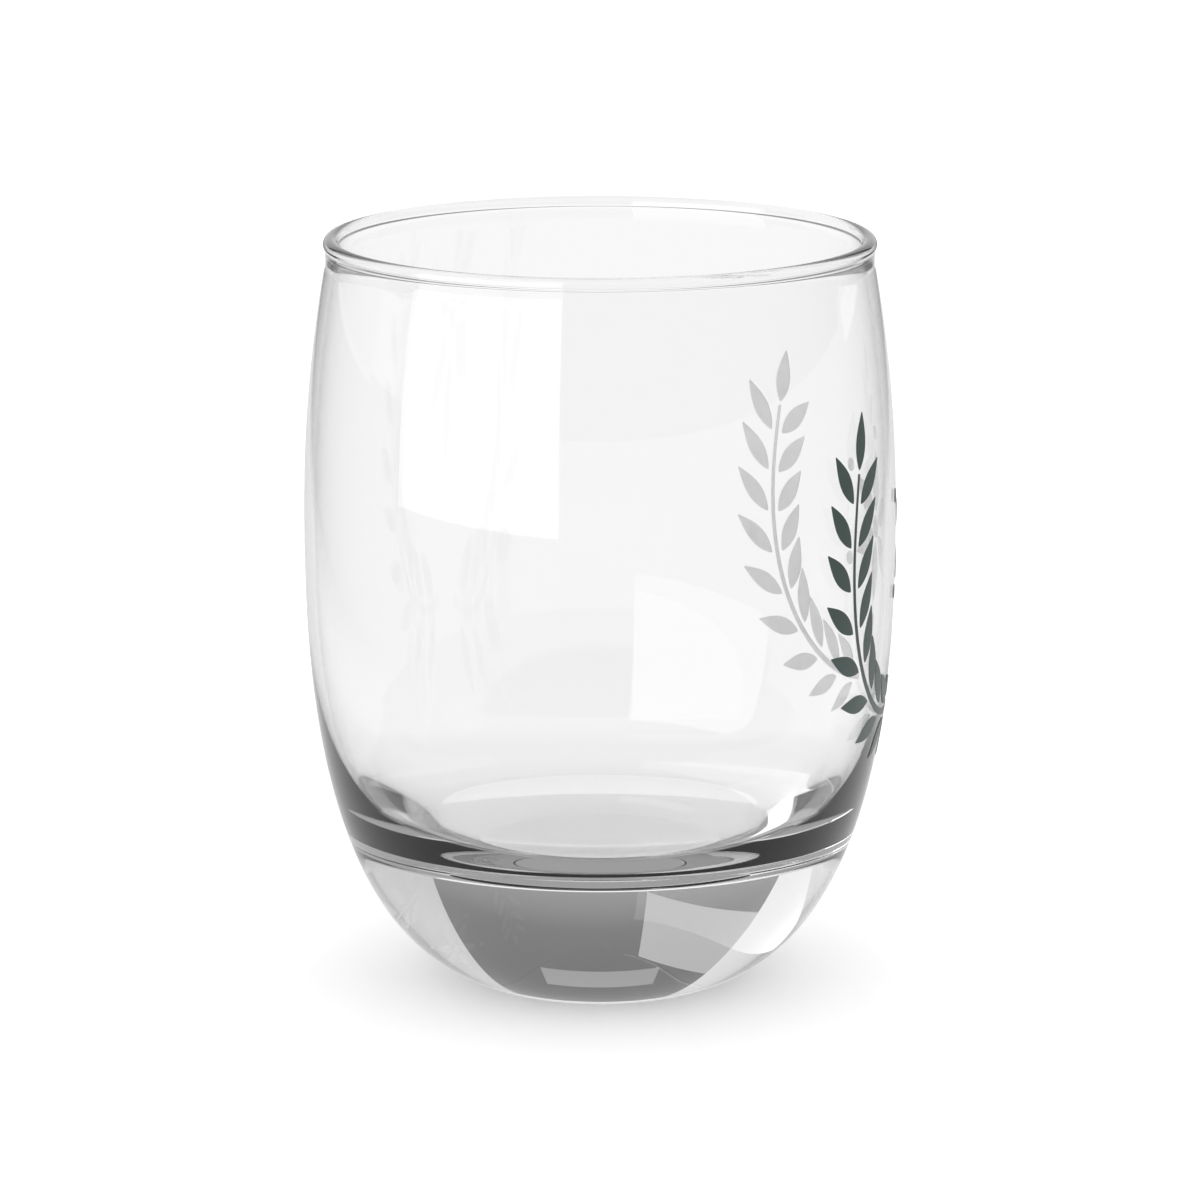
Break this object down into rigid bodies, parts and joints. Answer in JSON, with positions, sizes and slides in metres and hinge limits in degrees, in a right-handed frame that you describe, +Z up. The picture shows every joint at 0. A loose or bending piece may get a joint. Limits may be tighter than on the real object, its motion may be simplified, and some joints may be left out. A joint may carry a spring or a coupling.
{
  "type": "whisky glass",
  "caption": "Clear barrel-shaped whisky tumbler with a beaded rim, thin wall and thick solid base, printed on one side with a dark laurel ornament.",
  "frame": {"origin": "centre of the flat foot, on the surface the glass stands on", "axes": "+Z up along the axis the glass is turned about; the middle of the print faces -Y; +X is to the right of someone facing the print"},
  "size_m": [0.067, 0.0672, 0.0854],
  "materials": {
    "clear_glass": "clear pressed soda-lime glass, fire-polished",
    "printed_ink": "dark green-grey cured ink over a pale underprint"
  },
  "bodies": {
    "root": {"tumbler": "clear_glass", "left_stem": "printed_ink", "left_outer_leaf_1": "printed_ink", "left_outer_leaf_2": "printed_ink", "left_outer_leaf_3": "printed_ink", "left_outer_leaf_4": "printed_ink", "left_outer_leaf_5": "printed_ink", "left_outer_leaf_6": "printed_ink", "left_outer_leaf_7": "printed_ink", "left_outer_leaf_8": "printed_ink", "left_outer_leaf_9": "printed_ink", "left_inner_leaf_1": "printed_ink", "left_inner_leaf_2": "printed_ink", "left_inner_leaf_3": "printed_ink", "left_inner_leaf_4": "printed_ink", "left_inner_leaf_5": "printed_ink", "left_inner_leaf_6": "printed_ink", "left_inner_leaf_7": "printed_ink", "left_inner_leaf_8": "printed_ink", "left_inner_leaf_9": "printed_ink", "left_end_leaf": "printed_ink", "right_stem": "printed_ink", "right_outer_leaf_1": "printed_ink", "right_outer_leaf_2": "printed_ink", "right_outer_leaf_3": "printed_ink", "right_outer_leaf_4": "printed_ink", "right_outer_leaf_5": "printed_ink", "right_outer_leaf_6": "printed_ink", "right_outer_leaf_7": "printed_ink", "right_outer_leaf_8": "printed_ink", "right_outer_leaf_9": "printed_ink", "right_inner_leaf_1": "printed_ink", "right_inner_leaf_2": "printed_ink", "right_inner_leaf_3": "printed_ink", "right_inner_leaf_4": "printed_ink", "right_inner_leaf_5": "printed_ink", "right_inner_leaf_6": "printed_ink", "right_inner_leaf_7": "printed_ink", "right_inner_leaf_8": "printed_ink", "right_inner_leaf_9": "printed_ink", "right_end_leaf": "printed_ink", "rosette_eye": "printed_ink", "petal_1": "printed_ink", "petal_2": "printed_ink", "petal_3": "printed_ink", "petal_4": "printed_ink", "petal_5": "printed_ink", "petal_6": "printed_ink", "dot_1": "printed_ink", "dot_2": "printed_ink", "dot_3": "printed_ink", "dot_4": "printed_ink", "dot_5": "printed_ink", "dot_6": "printed_ink"}
  },
  "joints": []
}
